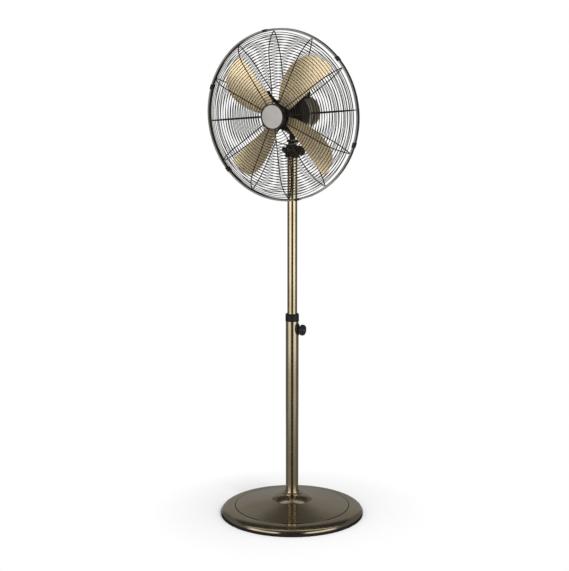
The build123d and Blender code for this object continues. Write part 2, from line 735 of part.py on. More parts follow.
with BuildPart() as stator_core:
    with BuildSketch(front_plane(STATOR_Y + STATOR_L)):
        Circle(STATOR_R)
        Circle(CORE_R + AIR_GAP, mode=Mode.SUBTRACT)
    extrude(amount=STATOR_L)
write(stator_core, "stator_core")

with BuildPart() as stator_coils:
    for depth in (STATOR_Y - COIL_WIRE_R - SEAT, STATOR_Y + STATOR_L + COIL_WIRE_R + SEAT):
        with Locations(front_plane(depth)):
            Torus(COIL_R, COIL_WIRE_R)
write(stator_coils, "stator_coils")

with BuildPart() as capacitor:
    with Locations((CAPACITOR_X, PLATE_REAR + CAPACITOR[1] / 2, HEAD_Z)):
        Box(*CAPACITOR)
    fillet(capacitor.edges().filter_by(Axis.Y), CAPACITOR_FILLET)
write(capacitor, "capacitor")

with BuildPart() as speed_switch:
    tube(front_plane(SHELL_REAR - SHELL_WALL), SWITCH_R, SPEED_STEM_R + RUN, SWITCH_L)
write(speed_switch, "speed_switch")

with BuildPart() as cord_gland:
    tube(GLAND_PLANE, GLAND_FLANGE_R, GLAND_R / 2, GLAND_FLANGE_T)
    tube(GLAND_PLANE.offset(-2 * SHELL_WALL), GLAND_R - SLIP, GLAND_R / 2, 2 * SHELL_WALL)
write(cord_gland, "cord_gland")

# Guard bracket and its screws
ARM_ANGLES = (ARM_ANGLE, 180 - ARM_ANGLE, 180 + ARM_ANGLE, -ARM_ANGLE)
BELL_ANGLES = (45, 135, 225, 315)
with BuildPart() as guard_bracket:
    with BuildSketch(front_plane(BELL_FRONT)):
        Circle(BELL_SCREW_PITCH_R + ARM_EYE_R)
        for angle in ARM_ANGLES:
            with PolarLocations(ARM_R, 1, start_angle=angle):
                Circle(ARM_EYE_R)
            with PolarLocations(ARM_R / 2, 1, start_angle=angle):
                Rectangle(ARM_R, ARM_W)
        Circle(NOSE_R + SLIP, mode=Mode.SUBTRACT)
        for angle in ARM_ANGLES:
            with PolarLocations(ARM_R, 1, start_angle=angle):
                Circle(GUARD_SCREW_R + SLIP, mode=Mode.SUBTRACT)
        with PolarLocations(BELL_SCREW_PITCH_R, 4, start_angle=45):
            Circle(GUARD_SCREW_R + SLIP, mode=Mode.SUBTRACT)
    extrude(amount=ARM_T)
write(guard_bracket, "guard_bracket")

SCREW_PLACES = [(ARM_R, angle, TAB_FRONT, ARM_T + REAR_HUB_T) for angle in ARM_ANGLES]
SCREW_PLACES += [(BELL_SCREW_PITCH_R, angle, BRACKET_FRONT, ARM_T + BELL_WALL) for angle in BELL_ANGLES]
with BuildPart() as guard_screws:
    for pitch_r, angle, seat_y, grip in SCREW_PLACES:
        with BuildSketch(front_plane(seat_y)):
            with PolarLocations(pitch_r, 1, start_angle=angle):
                Circle(GUARD_SCREW_HEAD_R)
        extrude(amount=GUARD_SCREW_HEAD_T)
        with BuildSketch(front_plane(seat_y)):
            with PolarLocations(pitch_r, 1, start_angle=angle):
                Circle(GUARD_SCREW_R)
        extrude(amount=-grip)
write(guard_screws, "guard_screws")

# Wire guards: a rib is a straight run and an arc to the rim, and the rings lie on it at an even pitch
with BuildPart() as rear_guard_hub:
    with BuildSketch(front_plane(BRACKET_FRONT)):
        Circle(ARM_R + REAR_BAND_W / 2)
        Circle(ARM_R - REAR_BAND_W / 2, mode=Mode.SUBTRACT)
        for angle in ARM_ANGLES:
            with PolarLocations(ARM_R, 1, start_angle=angle):
                Circle(REAR_TAB_R)
                Circle(GUARD_SCREW_R + SLIP, mode=Mode.SUBTRACT)
    extrude(amount=REAR_HUB_T)
write(rear_guard_hub, "rear_guard_hub")


def radial_plane(angle):
    """Plane through the head axis, drawn as (depth along +Y, radius), at an angle seen from the front."""
    turn = math.radians(angle)
    return Plane(origin=(0, 0, HEAD_Z), x_dir=(0, 1, 0), z_dir=(math.sin(turn), 0, -math.cos(turn)))


def rib_path(start, flat, rim_y):
    """Centre line of a rib as (depth, radius): a straight run, then an arc to the rim wire."""
    with BuildLine() as path:
        run = Line(start, flat)
        TangentArc(run @ 1, (rim_y, RIM_R - RIM_WIRE_R - RIB_WIRE_R - WELD), tangent=run % 1)
    return path.wire()


def guard_ribs(path):
    """Ribs of one guard, one wire every 30 degrees."""
    with BuildPart() as ribs:
        for index in range(RIB_COUNT):
            rib = path.moved(radial_plane(RIB_START + index * 360 / RIB_COUNT).location)
            with BuildSketch(Plane(origin=rib @ 0, z_dir=rib % 0)) as section:
                Circle(RIB_WIRE_R)
            sweep(section.sketch, path=rib)
    return ribs


def wire_ring(depth, ring_r, wire_r):
    """One ring of wire round the head axis, drawn with a many-sided section to keep it light."""
    with BuildSketch(HEAD_SIDE) as section:
        with Locations((depth, ring_r)):
            RegularPolygon(wire_r, WIRE_SIDES)
    revolve(section.sketch, axis=HEAD_AXIS)


def guard_rings(path, first_r, rim_y, side):
    """Rings welded on one side of the ribs at an even pitch, with the thick rim wire."""
    count = int((path.length - first_r + (path @ 0).Y) / RING_PITCH)
    with BuildPart() as rings:
        for index in range(count):
            along = (first_r - (path @ 0).Y + index * RING_PITCH) / path.length
            place = path @ along
            heading = path % along
            reach = side * (RIB_WIRE_R + WIRE_R + WELD)
            wire_ring(place.X - heading.Y * reach, place.Y + heading.X * reach, WIRE_R)
        wire_ring(rim_y, RIM_R, RIM_WIRE_R)
    return rings


FRONT_Y = RIM_Y - FRONT_DEPTH
FRONT_RIB_Y = FRONT_Y + RIB_WIRE_R + WELD
REAR_RIB_R = ARM_R - RIB_OVERHANG
REAR_RIB_Y = TAB_FRONT - RIB_WIRE_R - WELD
REAR_RING_R = ARM_R + REAR_TAB_R + WIRE_R + FREE
FRONT_RIM_Y = RIM_Y - RIM_WIRE_R - WELD
REAR_RIM_Y = RIM_Y + RIM_WIRE_R + WELD
front_path = rib_path(
    (FRONT_RIB_Y, FRONT_HUB_R - FRONT_HUB_LAP), (FRONT_RIB_Y + FRONT_SAG, FRONT_FLAT_R), FRONT_RIM_Y
)
rear_path = rib_path((REAR_RIB_Y, REAR_RIB_R), (REAR_RIB_Y - REAR_SAG, REAR_FLAT_R), REAR_RIM_Y)

front_guard_ribs = guard_ribs(front_path)
write(front_guard_ribs, "front_guard_ribs")

rear_guard_ribs = guard_ribs(rear_path)
write(rear_guard_ribs, "rear_guard_ribs")

front_guard_rings = guard_rings(front_path, FRONT_HUB_R + RING_PITCH / 2, FRONT_RIM_Y, 1)
write(front_guard_rings, "front_guard_rings")

rear_guard_rings = guard_rings(rear_path, REAR_RING_R, REAR_RIM_Y, 1)
write(rear_guard_rings, "rear_guard_rings")

with BuildPart() as front_guard_hub:
    bar(front_plane(FRONT_Y), FRONT_HUB_R, FRONT_HUB_T)
    bar(front_plane(FRONT_Y - FRONT_HUB_T), BADGE_R + SLIP, -BADGE_T, Mode.SUBTRACT)
    fillet(front_guard_hub.edges().sort_by(Axis.Y)[-1], FRONT_HUB_FILLET)
write(front_guard_hub, "front_guard_hub")

with BuildPart() as badge:
    face_y = FRONT_Y - FRONT_HUB_T + BADGE_T - SEAT
    with BuildSketch(HEAD_SIDE):
        with BuildLine():
            back = Line((face_y, 0), (face_y, BADGE_R))
            edge = Line(back @ 1, (face_y - BADGE_T, BADGE_R))
            dome = TangentArc((face_y - BADGE_T - BADGE_DOME, 0), edge @ 1, tangent=(0, 1))
            Line(dome @ 0, back @ 0)
        make_face()
    revolve(axis=HEAD_AXIS)
write(badge, "badge")


def channel(outer, thickness, half_width, lip):
    """Section of a channel that is open towards the head axis, as (depth, radius)."""
    outline(
        (RIM_Y - half_width, outer - lip),
        (RIM_Y - half_width, outer),
        (RIM_Y + half_width, outer),
        (RIM_Y + half_width, outer - lip),
        (RIM_Y + half_width - thickness, outer - lip),
        (RIM_Y + half_width - thickness, outer - thickness),
        (RIM_Y - half_width + thickness, outer - thickness),
        (RIM_Y - half_width + thickness, outer - lip),
    )


with BuildPart() as guard_hoop:
    with BuildSketch(HEAD_SIDE):
        channel(GUARD_R, HOOP_T, HOOP_W / 2, HOOP_LIP)
    revolve(axis=HEAD_AXIS)
write(guard_hoop, "guard_hoop")

with BuildPart() as guard_clips:
    for index in range(CLIP_COUNT):
        angle = CLIP_START + index * 360 / CLIP_COUNT - CLIP_SWEEP / 2
        with BuildSketch(radial_plane(angle)):
            channel(GUARD_R + SLIP + CLIP_T, CLIP_T, HOOP_W / 2 + SLIP + CLIP_T, HOOP_LIP + CLIP_T + CLIP_HOOK)
        revolve(axis=HEAD_AXIS, revolution_arc=CLIP_SWEEP)
write(guard_clips, "guard_clips")

# Blades, drawn with u along the blade, v counter-clockwise seen from the front and w forwards
BLADE_STATIONS = (BLANK_START, RIVET_U, BLANK_MID * BLADE_TIP, BLADE_TIP + BLANK_END)


def blade_pitch(u):
    """Pitch angle at a distance along the blade."""
    return ROOT_PITCH + (TIP_PITCH - ROOT_PITCH) * u / BLADE_TIP


def blade_blank(lift):
    """Cambered, twisted sheet that blades and hub arms are cut from, raised by lift."""
    sections = []
    for u in BLADE_STATIONS:
        plane = Plane(origin=(u, 0, 0), x_dir=(0, 1, 0), z_dir=(1, 0, 0)).rotated((blade_pitch(u), 0, 0))
        with BuildSketch(plane) as section:
            with BuildLine():
                under = ThreePointArc((-BLADE_HALF, lift), (0, lift - BLADE_CAMBER), (BLADE_HALF, lift))
                over = ThreePointArc(
                    (-BLADE_HALF, lift + BLADE_T),
                    (0, lift + BLADE_T - BLADE_CAMBER),
                    (BLADE_HALF, lift + BLADE_T),
                )
                Line(under @ 0, over @ 0)
                Line(under @ 1, over @ 1)
            make_face()
        sections.append(section.sketch)
    loft(sections)


def rivet_plane(v):
    """Plane of a rivet on the blade's front face, with its normal along the rivet."""
    pitch = math.radians(blade_pitch(RIVET_U))
    chord = v / math.cos(pitch)
    sink = BLADE_CAMBER * (1 - (chord / BLADE_HALF) ** 2) - BLADE_T
    lean = pitch + math.atan(2 * BLADE_CAMBER * chord / BLADE_HALF**2)
    drop = Vector(0, -math.sin(pitch), math.cos(pitch)) * sink
    place = Vector(RIVET_U, v, v * math.tan(pitch)) - drop
    return Plane(origin=place, x_dir=(1, 0, 0), z_dir=(0, -math.sin(lean), math.cos(lean)))


with BuildPart() as blade:
    blade_blank(0)
    with BuildSketch():
        with BuildLine():
            lead = Line((BLADE_ROOT, BLADE_LEAD[0]), (BLADE_TIP, BLADE_LEAD[1]))
            tip = ThreePointArc(lead @ 1, *((BLADE_TIP + u, v) for u, v in BLADE_END))
            bends = [(share * BLADE_TIP, v) for share, v in BLADE_TRAIL]
            trail = Spline(tip @ 1, *bends, (BLADE_ROOT, BLADE_TRAIL_ROOT))
            Line(trail @ 1, lead @ 0)
        make_face()
        fillet(vertices().sort_by(Axis.X)[-2:], BLADE_TIP_FILLET)
    extrude(amount=BLADE_HALF, both=True, mode=Mode.INTERSECT)
    for v in RIVET_V:
        bar(rivet_plane(v).offset(-4 * BLADE_T), RIVET_R + SLIP, 8 * BLADE_T, Mode.SUBTRACT)

with BuildPart() as blades:
    with Locations(front_plane(BLADE_Y)):
        with PolarLocations(0, BLADE_COUNT, start_angle=BLADE_START):
            add(blade.part)
write(blades, "blades")

with BuildPart() as hub_arm:
    blade_blank(-BLADE_T - SEAT)
    with BuildSketch():
        arm_l = RIVET_U + HUB_ARM_END - HUB_ARM_START
        arm_w = RIVET_V[1] - RIVET_V[0] + 2 * HUB_ARM_MARGIN
        with Locations((HUB_ARM_START + arm_l / 2, sum(RIVET_V) / 2)):
            RectangleRounded(arm_l, arm_w, HUB_ARM_CORNER)
    extrude(amount=BLADE_HALF, both=True, mode=Mode.INTERSECT)
    for v in RIVET_V:
        bar(rivet_plane(v).offset(-4 * BLADE_T), RIVET_R + SLIP, 8 * BLADE_T, Mode.SUBTRACT)

with BuildPart() as blade_hub:
    bar(front_plane(HUB_REAR), HUB_BOSS_R, HUB_REAR - HUB_FRONT)
    with Locations(front_plane(BLADE_Y)):
        with PolarLocations(0, BLADE_COUNT, start_angle=BLADE_START):
            add(hub_arm.part)
    bar(front_plane(HUB_REAR + OVER), SHAFT_R + SLIP, HUB_REAR - HUB_FRONT + 2 * OVER, Mode.SUBTRACT)
write(blade_hub, "blade_hub")

with BuildPart() as rivet_pair:
    for v in RIVET_V:
        bar(rivet_plane(v).offset(FREE), RIVET_HEAD_R, RIVET_HEAD_T)
        bar(rivet_plane(v).offset(FREE), RIVET_R, -2 * BLADE_T - 2 * FREE)
        bar(rivet_plane(v).offset(-2 * BLADE_T - FREE), RIVET_TAIL_R, -RIVET_HEAD_T)

with BuildPart() as rivets:
    with Locations(front_plane(BLADE_Y)):
        with PolarLocations(0, BLADE_COUNT, start_angle=BLADE_START):
            add(rivet_pair.part)
write(rivets, "rivets")

with BuildPart() as shaft_nut:
    with BuildSketch(front_plane(HUB_FRONT - SEAT)):
        RegularPolygon(NUT_R, 6)
        Circle(SHAFT_R + SLIP, mode=Mode.SUBTRACT)
    extrude(amount=NUT_L)
write(shaft_nut, "shaft_nut")

# Rotor and worm
SHAFT_STEP = PLATE_Y + BEARING_W
WORM_LENGTH = WORM_TURNS * AXIAL_PITCH
WORM_START = WORM_Y - WORM_LENGTH / 2
WORM_END_LAND = 1.2
with BuildPart() as rotor_core:
    tube(front_plane(STATOR_Y + STATOR_L), CORE_R, SHAFT_R + SLIP, STATOR_L)
write(rotor_core, "rotor_core")

with BuildPart() as thread:
    worm_root = WORM_PITCH_R - DEDENDUM * MODULE
    worm_tip = WORM_PITCH_R + ADDENDUM * MODULE
    half_tooth = (AXIAL_PITCH / 2 - BACKLASH) / 2
    with BuildLine() as helix:
        Helix(AXIAL_PITCH, WORM_LENGTH, WORM_PITCH_R)
    with BuildSketch(Plane(origin=helix.line @ 0, x_dir=(1, 0, 0), z_dir=helix.line % 0)) as tooth:
        outline(
            (worm_root - WORM_PITCH_R - FREE, -TOOTH_ROOT * half_tooth),
            (0, -half_tooth),
            (worm_tip - WORM_PITCH_R, -TOOTH_TIP * half_tooth),
            (worm_tip - WORM_PITCH_R, TOOTH_TIP * half_tooth),
            (0, half_tooth),
            (worm_root - WORM_PITCH_R - FREE, TOOTH_ROOT * half_tooth),
        )
    sweep(path=helix.line, is_frenet=True)

WORM_PLANE = Plane(origin=(0, WORM_START, HEAD_Z), x_dir=(1, 0, 0), z_dir=(0, 1, 0))
with BuildPart() as rotor_shaft:
    bar(front_plane(SHAFT_STEP), SHAFT_R, SHAFT_STEP - SHAFT_FRONT)
    bar(front_plane(SHAFT_STEP), SHAFT_TAIL_R, SHAFT_STEP - WORM_START)
    bar(WORM_PLANE.offset(-WORM_END_LAND), worm_root, WORM_LENGTH + 2 * WORM_END_LAND)
    with Locations(WORM_PLANE):
        add(thread.part)
write(rotor_shaft, "rotor_shaft")

# Oscillation gears
CLUTCH = Plane((WHEEL_X, WORM_Y, 0))
CRANK = Plane((CRANK_X, CRANK_Y, 0))
WHEEL_Z = HEAD_Z - WHEEL_W / 2
MESH_ANGLE = math.degrees(math.atan2(CRANK_Y - WORM_Y, CRANK_X - WHEEL_X))
OSC_KNOB_Z = SHELL_TOP - OSC_KNOB_SINK
with BuildPart() as worm_wheel:
    with BuildSketch(CLUTCH.offset(WHEEL_Z)):
        gear_outline(WHEEL_TEETH, CLUTCH_R + RUN, 180)
    extrude(amount=WHEEL_W)
write(worm_wheel, "worm_wheel")

with BuildPart() as clutch_shaft:
    bar(CLUTCH.offset(FLOOR_Z), CLUTCH_R, OSC_KNOB_Z + OSC_TRAVEL - OVER - FLOOR_Z)
    bar(CLUTCH.offset(WHEEL_Z - SEAT), CLUTCH_R + CLUTCH_FLANGE, -CLUTCH_FLANGE)
    with BuildSketch(CLUTCH.offset(GEAR_Z)):
        gear_outline(PINION_TEETH, 0, MESH_ANGLE + 180 / PINION_TEETH)
    extrude(amount=GEAR_W)
write(clutch_shaft, "clutch_shaft")

with BuildPart() as crank_gear:
    with BuildSketch(CRANK.offset(GEAR_Z)):
        gear_outline(CRANK_TEETH, CRANK_SHAFT_R + SLIP, MESH_ANGLE + 180)
    extrude(amount=GEAR_W)
write(crank_gear, "crank_gear")

with BuildPart() as crank:
    bar(CRANK.offset(CRANK_DISC_Z), CRANK_DISC_R, CRANK_DISC_T)
    bar(CRANK.offset(CRANK_DISC_Z), CRANK_SHAFT_R, GEAR_Z + GEAR_W - CRANK_DISC_Z)
    bar(Plane((CRANK_X + CRANK_THROW, CRANK_Y, CRANK_DISC_Z)), CRANK_PIN_R, -LINK_T - CRANK_PIN_END)
write(crank, "crank")

LINK_X = CRANK_X + CRANK_THROW
with BuildPart() as link:
    with BuildSketch(Plane.XY.offset(LINK_Z)):
        with Locations((LINK_X, CRANK_Y), (LINK_X, 0)):
            Circle(LINK_EYE_R)
        with Locations((LINK_X, CRANK_Y / 2)):
            Rectangle(LINK_W, CRANK_Y)
        with Locations((LINK_X, CRANK_Y)):
            Circle(CRANK_PIN_R + RUN, mode=Mode.SUBTRACT)
        with Locations((LINK_X, 0)):
            Circle(ANCHOR_PIN_R + LINK_SLACK, mode=Mode.SUBTRACT)
    extrude(amount=LINK_T)
write(link, "link")

FRAME_RIGHT = WHEEL_X + FRAME_MARGIN_X
FRAME_REAR = WORM_Y + FRAME_MARGIN_Y
with BuildPart() as gear_frame:
    with BuildSketch(Plane.XY.offset(FLOOR_Z)):
        outline(
            (FRAME_LEFT, PLATE_REAR),
            (FRAME_RIGHT, PLATE_REAR),
            (FRAME_RIGHT, FRAME_REAR),
            (FRAME_LEFT, FRAME_REAR),
        )
    extrude(amount=FLOOR_T)
    with BuildSketch(Plane.XY.offset(TOP_Z)):
        outline(
            (WHEEL_X - FRAME_TOP_LEFT, PLATE_REAR),
            (FRAME_RIGHT, PLATE_REAR),
            (FRAME_RIGHT, FRAME_REAR),
            (WHEEL_X - FRAME_TOP_LEFT, FRAME_REAR),
        )
    extrude(amount=TOP_T)
    with BuildSketch(Plane.XY.offset(FLOOR_Z)):
        outline(
            (BEARING_R + FRAME_GAP, PLATE_REAR),
            (FRAME_RIGHT, PLATE_REAR),
            (FRAME_RIGHT, PLATE_REAR + FRAME_WALL),
            (BEARING_R + FRAME_GAP, PLATE_REAR + FRAME_WALL),
        )
    extrude(amount=TOP_Z + TOP_T - FLOOR_Z)
    bar(CLUTCH.offset(FLOOR_Z - OVER), CLUTCH_R + RUN, TOP_Z + TOP_T + 2 * OVER - FLOOR_Z, Mode.SUBTRACT)
    bar(CRANK.offset(FLOOR_Z - OVER), CRANK_SHAFT_R + RUN, FLOOR_T + 2 * OVER, Mode.SUBTRACT)
write(gear_frame, "gear_frame")

# Controls
with BuildPart() as oscillation_knob:
    bar(CLUTCH.offset(OSC_KNOB_Z), OSC_KNOB_R, OSC_KNOB_H)
    fillet(oscillation_knob.edges().group_by(Axis.Z)[-1], OSC_KNOB_FILLET)
    bar(CLUTCH.offset(OSC_KNOB_Z - OVER), CLUTCH_R + RUN, OSC_KNOB_H - OSC_KNOB_FILLET, Mode.SUBTRACT)
write(oscillation_knob, "oscillation_knob")

with BuildPart() as speed_knob:
    back = SHELL_REAR + FREE
    with BuildSketch(HEAD_SIDE):
        outline(
            (back, 0),
            (back, SPEED_R),
            (back + SPEED_L - SPEED_BEVEL[0], SPEED_R - SPEED_TAPER),
            (back + SPEED_L, SPEED_R - SPEED_BEVEL[1]),
            (back + SPEED_L, 0),
        )
    revolve(axis=HEAD_AXIS)
    bar(front_plane(back), SPEED_STEM_R, SWITCH_L / 2 + SHELL_WALL + FREE)
    with BuildSketch(front_plane(back + SPEED_L)):
        with Locations((0, SPEED_R), (0, -SPEED_R)):
            Rectangle(2 * SPEED_R, 2 * SPEED_R - SPEED_GRIP_W)
    extrude(amount=SPEED_GRIP_L, mode=Mode.SUBTRACT)
write(speed_knob, "speed_knob")
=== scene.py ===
"""Looks of a pedestal fan in antique brass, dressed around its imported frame."""

from __future__ import annotations

import logging
import math
from dataclasses import dataclass
from enum import Enum

import bpy
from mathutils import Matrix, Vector


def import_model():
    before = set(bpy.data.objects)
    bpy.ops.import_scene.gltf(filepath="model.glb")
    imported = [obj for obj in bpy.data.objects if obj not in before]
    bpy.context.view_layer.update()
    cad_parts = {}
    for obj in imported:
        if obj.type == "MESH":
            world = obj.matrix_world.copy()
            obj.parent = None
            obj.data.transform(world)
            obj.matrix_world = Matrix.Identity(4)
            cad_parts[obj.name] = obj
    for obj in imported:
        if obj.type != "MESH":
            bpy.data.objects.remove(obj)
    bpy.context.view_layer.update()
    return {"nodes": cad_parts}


LOG = logging.getLogger("pedestal_fan")

Colour = tuple[float, float, float]
Point = tuple[float, float, float]
Names = tuple[str, ...]
Socket = bpy.types.NodeSocket

WHITE = (1.0, 1.0, 1.0, 1.0)
FLAT = (1.0, 1.0, 0.0)

# Octaves of each noise, and the part of its range that is used.
STREAK_DETAIL = 3.0
CLOUD_DETAIL = 4.0
FINE_DETAIL = 2.0
WIDE_DETAIL = 3.0
NOISE_LOW = 0.3
NOISE_HIGH = 0.7

# Patina: noise levels where it starts and is full with no cover, and how far full cover lowers them.
PATINA_START = 0.62
PATINA_FULL = 0.82
PATINA_COVER = 0.4
STREAK_SHADE = 0.5
STREAK_MEAN = 0.5

# Painted shade along a turned groove: the part of its half width that is darkest, and how much of the colour
# is left there.
GROOVE_SHADE_CORE = 0.6
GROOVE_SHADE_TONE = 0.06

# Lines in a metre along a drawn tube.
DRAWN_ALONG = 4.0

# Moulded pieces: grain cells in one wide patch, noise levels of the wear, and spread of the roughness.
PATCH_CELLS = 40
WORN_START = 0.35
WORN_FULL = 0.75
MOULDED_SPREAD = 0.06


class Grain(Enum):
    """Direction in which a surface was brushed or drawn."""

    TURNED = "turned"
    DRAWN = "drawn"
    ROLLED = "rolled"


class Graph:
    """Small helper that adds linked shader nodes to one node tree."""

    def __init__(self, tree: bpy.types.NodeTree) -> None:
        """Keep the tree that nodes go into.

        Args:
            tree: Node tree of a material or a world.
        """
        self.tree = tree

    def node(self, kind: str, **settings: object) -> bpy.types.Node:
        """Add one node.

        Args:
            kind: Blender's type name of the node.
            **settings: Attributes to set on it.

        Returns:
            The new node.
        """
        made = self.tree.nodes.new(kind)
        for key, value in settings.items():
            setattr(made, key, value)
        return made

    def link(self, source: Socket, target: Socket) -> None:
        """Join an output socket to an input socket."""
        self.tree.links.new(source, target)

    def math(self, operation: str, first: Socket | float, second: Socket | float = 0.0) -> Socket:
        """Add a math node whose inputs are sockets or numbers.

        Args:
            operation: Name of the operation.
            first: Socket or number for the first input.
            second: Socket or number for the second input.

        Returns:
            The node's output socket.
        """
        made = self.node("ShaderNodeMath", operation=operation)
        for socket, value in zip(made.inputs, (first, second)):
            if isinstance(value, (int, float)):
                socket.default_value = value
            else:
                self.link(value, socket)
        return made.outputs[0]

    def noise(self, vector: Socket, scale: float, detail: float) -> Socket:
        """Add a noise texture.

        Args:
            vector: Coordinates in metres.
            scale: Cells in a metre.
            detail: Octaves of finer noise.

        Returns:
            The noise value, about 0.5 on average.
        """
        made = self.node("ShaderNodeTexNoise")
        made.inputs["Scale"].default_value = scale
        made.inputs["Detail"].default_value = detail
        self.link(vector, made.inputs["Vector"])
        return made.outputs["Fac"]

    def ramp(self, value: Socket, low: float, high: float, start: float, end: float) -> Socket:
        """Map a value from one range to another, held at the ends.

        Args:
            value: Socket to map.
            low: Input that gives start.
            high: Input that gives end.
            start: Output at low.
            end: Output at high.

        Returns:
            The mapped value.
        """
        made = self.node("ShaderNodeMapRange")
        for name, number in zip(("From Min", "From Max", "To Min", "To Max"), (low, high, start, end)):
            made.inputs[name].default_value = number
        self.link(value, made.inputs["Value"])
        return made.outputs["Result"]

    def mix(self, share: Socket, first: Colour, second: Colour) -> Socket:
        """Mix two colours by a share.

        Args:
            share: Socket from 0, the first colour, to 1, the second.
            first: Linear colour.
            second: Linear colour.

        Returns:
            The mixed colour.
        """
        made = self.node("ShaderNodeMix", data_type="RGBA")
        colours = [socket for socket in made.inputs if socket.type == "RGBA"]
        for socket, colour in zip(colours, (first, second)):
            socket.default_value = (*colour, 1)
        self.link(share, made.inputs["Factor"])
        return next(socket for socket in made.outputs if socket.type == "RGBA")


@dataclass(frozen=True)
class MetalFinish:
    """Plated or bare metal with brushing lines and a slow change of patina.

    Attributes:
        name: Material name.
        colour: Linear colour of the polished metal.
        patina: Linear colour where it has darkened.
        roughness: Mean roughness.
        grain: Direction of the brushing lines.
        lines: Brushing lines in a metre, across the grain.
        relief: Height of the lines in metres.
        spread: How much the lines change the roughness.
        cloud: Patches of patina in a metre.
        cover: How much of the surface the patina takes, 0 to 1.
        stretch: Anisotropy of the highlights.
        quarter_turn: Turn of the stretched highlights from the turned lines, in whole turns.
        groove: Radius in metres of a turned groove along which shade is painted as a dark line, 0 for none.
        groove_shade_half: Half the width of that painted shade line in metres.
    """

    name: str
    colour: Colour
    patina: Colour
    roughness: float
    grain: Grain = Grain.ROLLED
    lines: float = 900.0
    relief: float = 0.00002
    spread: float = 0.08
    cloud: float = 9.0
    cover: float = 0.5
    stretch: float = 0.0
    quarter_turn: float = 0.25
    groove: float = 0.0
    groove_shade_half: float = 0.0013

    def material(self) -> bpy.types.Material:
        """Make the material.

        Returns:
            A new node material.
        """
        made = bpy.data.materials.new(self.name)
        made.use_nodes = True
        graph = Graph(made.node_tree)
        shader = made.node_tree.nodes["Principled BSDF"]
        shader.inputs["Metallic"].default_value = 1.0
        place = graph.node("ShaderNodeTexCoord").outputs["Object"]
        streak = graph.noise(self.along(graph, place), 1.0, STREAK_DETAIL)
        cloud = graph.noise(place, self.cloud, CLOUD_DETAIL)
        sink = PATINA_COVER * self.cover
        share = graph.ramp(cloud, PATINA_START - sink, PATINA_FULL - sink, 0.0, 1.0)
        shade = graph.math("MULTIPLY_ADD", streak, STREAK_SHADE)
        shade.node.inputs[2].default_value = -STREAK_SHADE * STREAK_MEAN
        total = graph.math("ADD", share, shade)
        total.node.use_clamp = True
        tone = graph.mix(total, self.colour, self.patina)
        # Painted shade: a dark line in the colour along the turned groove, standing in for its shadow.
        if self.groove:
            tone = self.paint_groove_shade(graph, place, tone)
        graph.link(tone, shader.inputs["Base Color"])
        low = self.roughness - self.spread
        high = self.roughness + self.spread
        graph.link(graph.ramp(streak, NOISE_LOW, NOISE_HIGH, low, high), shader.inputs["Roughness"])
        bump = graph.node("ShaderNodeBump")
        bump.inputs["Distance"].default_value = self.relief
        graph.link(streak, bump.inputs["Height"])
        graph.link(bump.outputs["Normal"], shader.inputs["Normal"])
        if self.stretch:
            shader.inputs["Anisotropic"].default_value = self.stretch
            shader.inputs["Anisotropic Rotation"].default_value = self.quarter_turn
            around = graph.node("ShaderNodeTangent", direction_type="RADIAL", axis="Z")
            graph.link(around.outputs["Tangent"], shader.inputs["Tangent"])
        return made

    def radius(self, graph: Graph, place: Socket) -> Socket:
        """Distance from the upright axis through the origin, in metres.

        Args:
            graph: Node tree helper of the material.
            place: Object coordinates in metres.

        Returns:
            The distance.
        """
        flat = graph.node("ShaderNodeVectorMath", operation="MULTIPLY")
        flat.inputs[1].default_value = FLAT
        graph.link(place, flat.inputs[0])
        length = graph.node("ShaderNodeVectorMath", operation="LENGTH")
        graph.link(flat.outputs[0], length.inputs[0])
        return length.outputs["Value"]

    def paint_groove_shade(self, graph: Graph, place: Socket, tone: Socket) -> Socket:
        """Darken a colour along the groove, as painted shade.

        Args:
            graph: Node tree helper of the material.
            place: Object coordinates in metres.
            tone: Colour beside the groove.

        Returns:
            The colour with its painted shade line.
        """
        away = graph.math("ABSOLUTE", graph.math("SUBTRACT", self.radius(graph, place), self.groove))
        keep = graph.ramp(away, self.groove_shade_half * GROOVE_SHADE_CORE, self.groove_shade_half, GROOVE_SHADE_TONE, 1.0)
        scaled = graph.node("ShaderNodeVectorMath", operation="SCALE")
        graph.link(tone, scaled.inputs[0])
        graph.link(keep, scaled.inputs["Scale"])
        return scaled.outputs[0]

    def along(self, graph: Graph, place: Socket) -> Socket:
        """Coordinates that stretch noise into brushing lines.

        Args:
            graph: Node tree helper of the material.
            place: Object coordinates in metres.

        Returns:
            Coordinates in lines, across and along the grain.
        """
        if self.grain is Grain.TURNED:
            parts = graph.node("ShaderNodeSeparateXYZ")
            graph.link(place, parts.inputs[0])
            joined = graph.node("ShaderNodeCombineXYZ")
            graph.link(graph.math("MULTIPLY", self.radius(graph, place), self.lines), joined.inputs["X"])
            graph.link(graph.math("MULTIPLY", parts.outputs["Z"], self.lines), joined.inputs["Y"])
            turn = graph.math("ARCTAN2", parts.outputs["Y"], parts.outputs["X"])
            graph.link(turn, joined.inputs["Z"])
            return joined.outputs[0]
        along = DRAWN_ALONG if self.grain is Grain.DRAWN else self.lines
        stretch = graph.node("ShaderNodeVectorMath", operation="MULTIPLY")
        stretch.inputs[1].default_value = (self.lines, self.lines, along)
        graph.link(place, stretch.inputs[0])
        return stretch.outputs[0]


